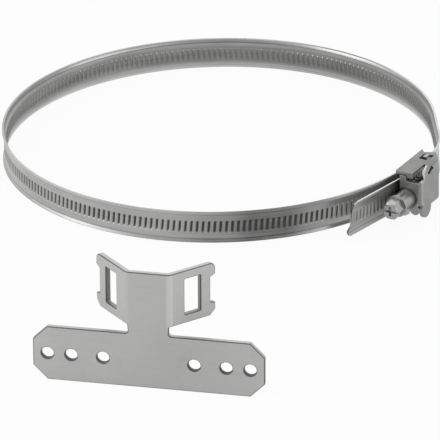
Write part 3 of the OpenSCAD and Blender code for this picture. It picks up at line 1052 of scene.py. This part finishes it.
def head_spot(at, away):
    """Makes the screw's head longer at its back and a little narrower."""
    if at.y < HEAD_AT and away.length > HEAD_RADIUS:
        at = at - away * HEAD_SLIM
    return at + SHIFT if HEAD_BACK[0] < at.y < HEAD_BACK[1] else at


class BRACKET_OT_saddle(bpy.types.Operator):
    """Build the saddle that carries the housing"""

    bl_idname = "bracket.saddle"
    bl_label = "Saddle"

    def execute(self, context):
        settings = context.scene.bracket_finishes
        piece = pressed_copy("saddle", "saddle_channel")
        finish = pressed_finish("saddle_steel", settings.housing, SADDLE_ROUGH)
        dress(piece, finish, "root", "saddle")
        return {"FINISHED"}


class BRACKET_OT_housing(bpy.types.Operator):
    """Build the folded housing and the sleeve that guides the screw"""

    bl_idname = "bracket.housing"
    bl_label = "Housing and sleeve"

    def execute(self, context):
        settings = context.scene.bracket_finishes
        piece = pressed_copy("screw_housing", "housing_shell")
        finish = pressed_finish("housing_steel", settings.housing, HOUSING_ROUGH)
        mark_faces(piece.data, self.tone_and_painted_light(piece))
        dress(piece, finish, "housing", "screw_housing")
        sleeve = rounded_copy("guide_sleeve", "sleeve", SLEEVE_EDGE, sleeve_spot)
        turned = pressed_finish("sleeve_steel", settings.screw, SLEEVE_ROUGH)
        dress(sleeve, turned, "housing", "guide_sleeve")
        return {"FINISHED"}

    @staticmethod
    def tone_and_painted_light(piece):
        """Painted shade on the roof and round the bearing hole, painted reflections on the fold, and painted
        highlights on the cut rim beside the worm and the front wall's top edges.
        """
        points = [TO_CLAMP @ vertex.co for vertex in piece.data.vertices]
        top, out = max(p.z for p in points), max(p.x for p in points)
        rim = [Vector((out - x * MM, y * MM)) for x, y in RIM_LINE]

        def on_rim(at):
            if at.z <= RIM_HIGH or at.x <= out - RIM_IN:
                return False
            for start, end in zip(rim, rim[1:]):
                near, part = intersect_point_line(at.xy, start, end)
                if 0 <= part <= 1 and (at.xy - near.xy).length < RIM_WIDTH:
                    return True
            return False

        def value(face):
            at, normal = TO_CLAMP @ face.center, TO_CLAMP.to_3x3() @ face.normal
            # A painted highlight on the cut rim beside the worm.
            if on_rim(at):
                return RIM_PAINTED_HIGHLIGHT
            # Painted shade on the roof.
            if normal.z > 0.8 and at.z > top - ROOF_SHEET:
                return ROOF_PAINTED_SHADE
            # Painted highlights on the front wall's top edges.
            if normal.z > 0.7 and at.y < WALL_BACK and at.z > WALL_TOP:
                return WALL_EDGE_PAINTED_HIGHLIGHT
            # Painted shade round the sleeve on the bearing hole's face.
            if normal.y < -0.8 and math.hypot(at.x - SCREW_OUT, at.z) < BEARING_RADIUS:
                return BEARING_PAINTED_SHADE
            # Painted reflections on the fold: darker, then lighter, by the turn of its faces.
            turn = math.degrees(math.atan2(normal.x, -normal.y))
            for first, last, dull in CORNER_PAINTED_REFLECTION:
                if abs(normal.z) < 0.3 and first <= turn < last:
                    return dull
            return 0.0

        return value


class BRACKET_OT_screw(bpy.types.Operator):
    """Build the worm screw"""

    bl_idname = "bracket.screw"
    bl_label = "Worm screw"

    def execute(self, context):
        settings = context.scene.bracket_finishes
        size = context.scene.bracket_screw_sizes
        finish = pressed_finish("screw_steel", settings.screw, SCREW_ROUGH)
        piece = rounded_copy("worm_screw", "drive_screw", SCREW_EDGE, head_spot, size.start)
        mark_faces(piece.data, lambda face: 0.0)
        worm = new_object("worm", bpy.data.meshes.new("worm"))
        grow(worm, worm_tree(finish), {
            "Root radius": size.crest - size.depth, "Depth": size.depth,
            "Pitch": size.pitch, "Length": size.reach,
        })
        middle = Matrix.Translation((SCREW_OUT, size.start + size.reach / 2, 0))
        worm.data.transform(CLAMP @ middle @ Matrix.Rotation(-math.pi / 2, 4, "X"))
        flat_light(worm, WORM_FLAT)
        # Painted shade over the whole worm.
        mark_faces(worm.data, lambda face: WORM_PAINTED_SHADE)
        both = {"active_object": piece, "selected_editable_objects": [piece, worm]}
        with bpy.context.temp_override(**both):
            bpy.ops.object.join()
        dress(piece, finish, "screw", "worm_screw")
        return {"FINISHED"}


# ---- studio

LAMPS = (
    # name, azimuth, elevation, distance, width, height, power
    ("key_left", -70.0, 22.0, 1.6, 1.3, 0.9, 10.0),
    ("fill_right", 72.0, 18.0, 1.6, 1.5, 0.8, 8.0),
    ("top", 10.0, 84.0, 1.5, 1.6, 1.6, 7.0),
    ("rim", 185.0, 30.0, 1.8, 2.4, 0.7, 3.0),
)
PAPER_WHITE = 0.93
AIM = Vector((0.0, -60 * MM, 10 * MM))
FLOOR_REACH = 8.0
FLOOR_GREY = (0.78, 0.78, 0.78, 1.0)
WHITE = (1.0, 1.0, 1.0, 1.0)
SENSOR = 36.0
CLIP = (0.1, 50.0)


def direction(azimuth, elevation):
    return Vector((
        math.sin(azimuth) * math.cos(elevation),
        -math.cos(azimuth) * math.cos(elevation),
        math.sin(elevation),
    ))


def floor_finish():
    """White paper that keeps a faint shadow, and that steel mirrors in soft light and dark."""
    paper = Finish("paper")
    shade = paper.node("ShaderNodeBsdfDiffuse", None, {"Color": FLOOR_GREY})
    side = paper.split(paper.coordinates())[0]
    bright = paper.ramp(side * -1.0, -5 * MM, 60 * MM)
    dim = paper.ramp(abs(side - 16 * MM), 30 * MM, 8 * MM)
    level = bright * 0.35 - dim * 0.2 + 0.6
    mirrored = paper.rays("Is Glossy Ray", "Is Transmission Ray") * level
    seen = paper.math("MAXIMUM", paper.rays("Is Camera Ray"), mirrored)
    glow = paper.node("ShaderNodeEmission", None, {"Color": WHITE})
    return paper.blend(seen * PAPER_WHITE, shade, glow, "ShaderNodeOutputMaterial")


def studio_world(ambient):
    """A white room behind the object, darker behind the camera; its light is even."""
    room = Finish("studio", "worlds")
    side, ahead, _ = room.split(room.coordinates("Generated"))
    shade = room.math("MINIMUM", ahead * 0.4 + 1.05 - side * 0.15, 1.0)
    shade = room.math("MAXIMUM", shade, 0.65)
    seen = room.rays("Is Camera Ray", "Is Glossy Ray", "Is Transmission Ray")
    soft = room.node("ShaderNodeBackground", None, {"Color": WHITE, "Strength": ambient})
    grey = room.node("ShaderNodeCombineColor", None, {0: shade, 1: shade, 2: shade})
    wall = room.node("ShaderNodeBackground", None, {"Color": grey.outputs[0], "Strength": 1.0})
    return room.blend(seen, soft, wall, "ShaderNodeOutputWorld")


class BRACKET_OT_studio(bpy.types.Operator):
    """Set up the floor, the lamps and the camera"""

    bl_idname = "bracket.studio"
    bl_label = "Studio"

    def execute(self, context):
        scene = context.scene
        settings = scene.bracket_studio
        scene.view_settings.view_transform = "Standard"
        scene.world = studio_world(settings.ambient)
        mesh = bpy.data.meshes.new("floor")
        far, near = FLOOR_REACH, -FLOOR_REACH
        corners = ((near, near), (far, near), (far, far), (near, far))
        mesh.from_pydata([(x, y, FLOOR_Z) for x, y in corners], [], [range(4)])
        floor = new_object("floor", mesh)
        mesh.materials.append(floor_finish())
        for name, azimuth, elevation, distance, width, height, power in LAMPS:
            lamp = bpy.data.lights.new(name, "AREA")
            lamp.shape = "RECTANGLE"
            lamp.size, lamp.size_y, lamp.energy = width, height, power
            holder = new_object(name, lamp)
            away = direction(math.radians(azimuth), math.radians(elevation))
            holder.location = AIM + away * distance
            holder.rotation_euler = away.to_track_quat("Z", "Y").to_euler()
        self.add_camera(scene, settings)
        return {"FINISHED"}

    @staticmethod
    def add_camera(scene, settings):
        lens = bpy.data.cameras.new("camera")
        lens.lens, lens.sensor_width = settings.lens, SENSOR
        lens.clip_start, lens.clip_end = CLIP
        camera = new_object("camera", lens)
        back = direction(settings.azimuth, settings.elevation)
        level = Vector((math.cos(settings.azimuth), math.sin(settings.azimuth), 0.0))
        upright = back.cross(level)
        right = level * math.cos(settings.roll) + upright * math.sin(settings.roll)
        up = back.cross(right)
        turn = Matrix((right, up, back)).transposed().to_4x4()
        turn.translation = back * settings.distance + right * settings.side + up * settings.lift
        camera.matrix_world = turn
        scene.camera = camera


# ---- add-on


class BRACKET_PT_panel(bpy.types.Panel):
    """Lists the pieces and their sizes"""

    bl_label = "Mast Mounting Bracket"
    bl_idname = "BRACKET_PT_panel"
    bl_space_type = "VIEW_3D"
    bl_region_type = "UI"
    bl_category = "Bracket"

    def draw(self, context):
        layout = self.layout
        for operator in OPERATORS:
            layout.operator(operator.bl_idname)
        for holder, group in GROUPS.items():
            box = layout.box()
            box.label(text=group.__name__)
            for key in group.__annotations__:
                box.prop(getattr(context.scene, holder), key)


GROUPS = {
    "bracket_band_sizes": BandSizes,
    "bracket_plate_sizes": PlateSizes,
    "bracket_screw_sizes": ScrewSizes,
    "bracket_finishes": Finishes,
    "bracket_studio": StudioSettings,
}
OPERATORS = (
    BRACKET_OT_plate, BRACKET_OT_band, BRACKET_OT_saddle,
    BRACKET_OT_housing, BRACKET_OT_screw, BRACKET_OT_studio,
)
CLASSES = (*GROUPS.values(), *OPERATORS, BRACKET_PT_panel)


def register():
    for each in CLASSES:
        bpy.utils.register_class(each)
    for holder, group in GROUPS.items():
        setattr(bpy.types.Scene, holder, bpy.props.PointerProperty(type=group))


def unregister():
    for holder in GROUPS:
        delattr(bpy.types.Scene, holder)
    for each in reversed(CLASSES):
        bpy.utils.unregister_class(each)


def main():
    register()
    bpy.ops.bracket.plate()
    bpy.ops.bracket.band()
    bpy.ops.bracket.saddle()
    bpy.ops.bracket.housing()
    bpy.ops.bracket.screw()
    bpy.ops.bracket.studio()


if __name__ == "__main__":
    main()
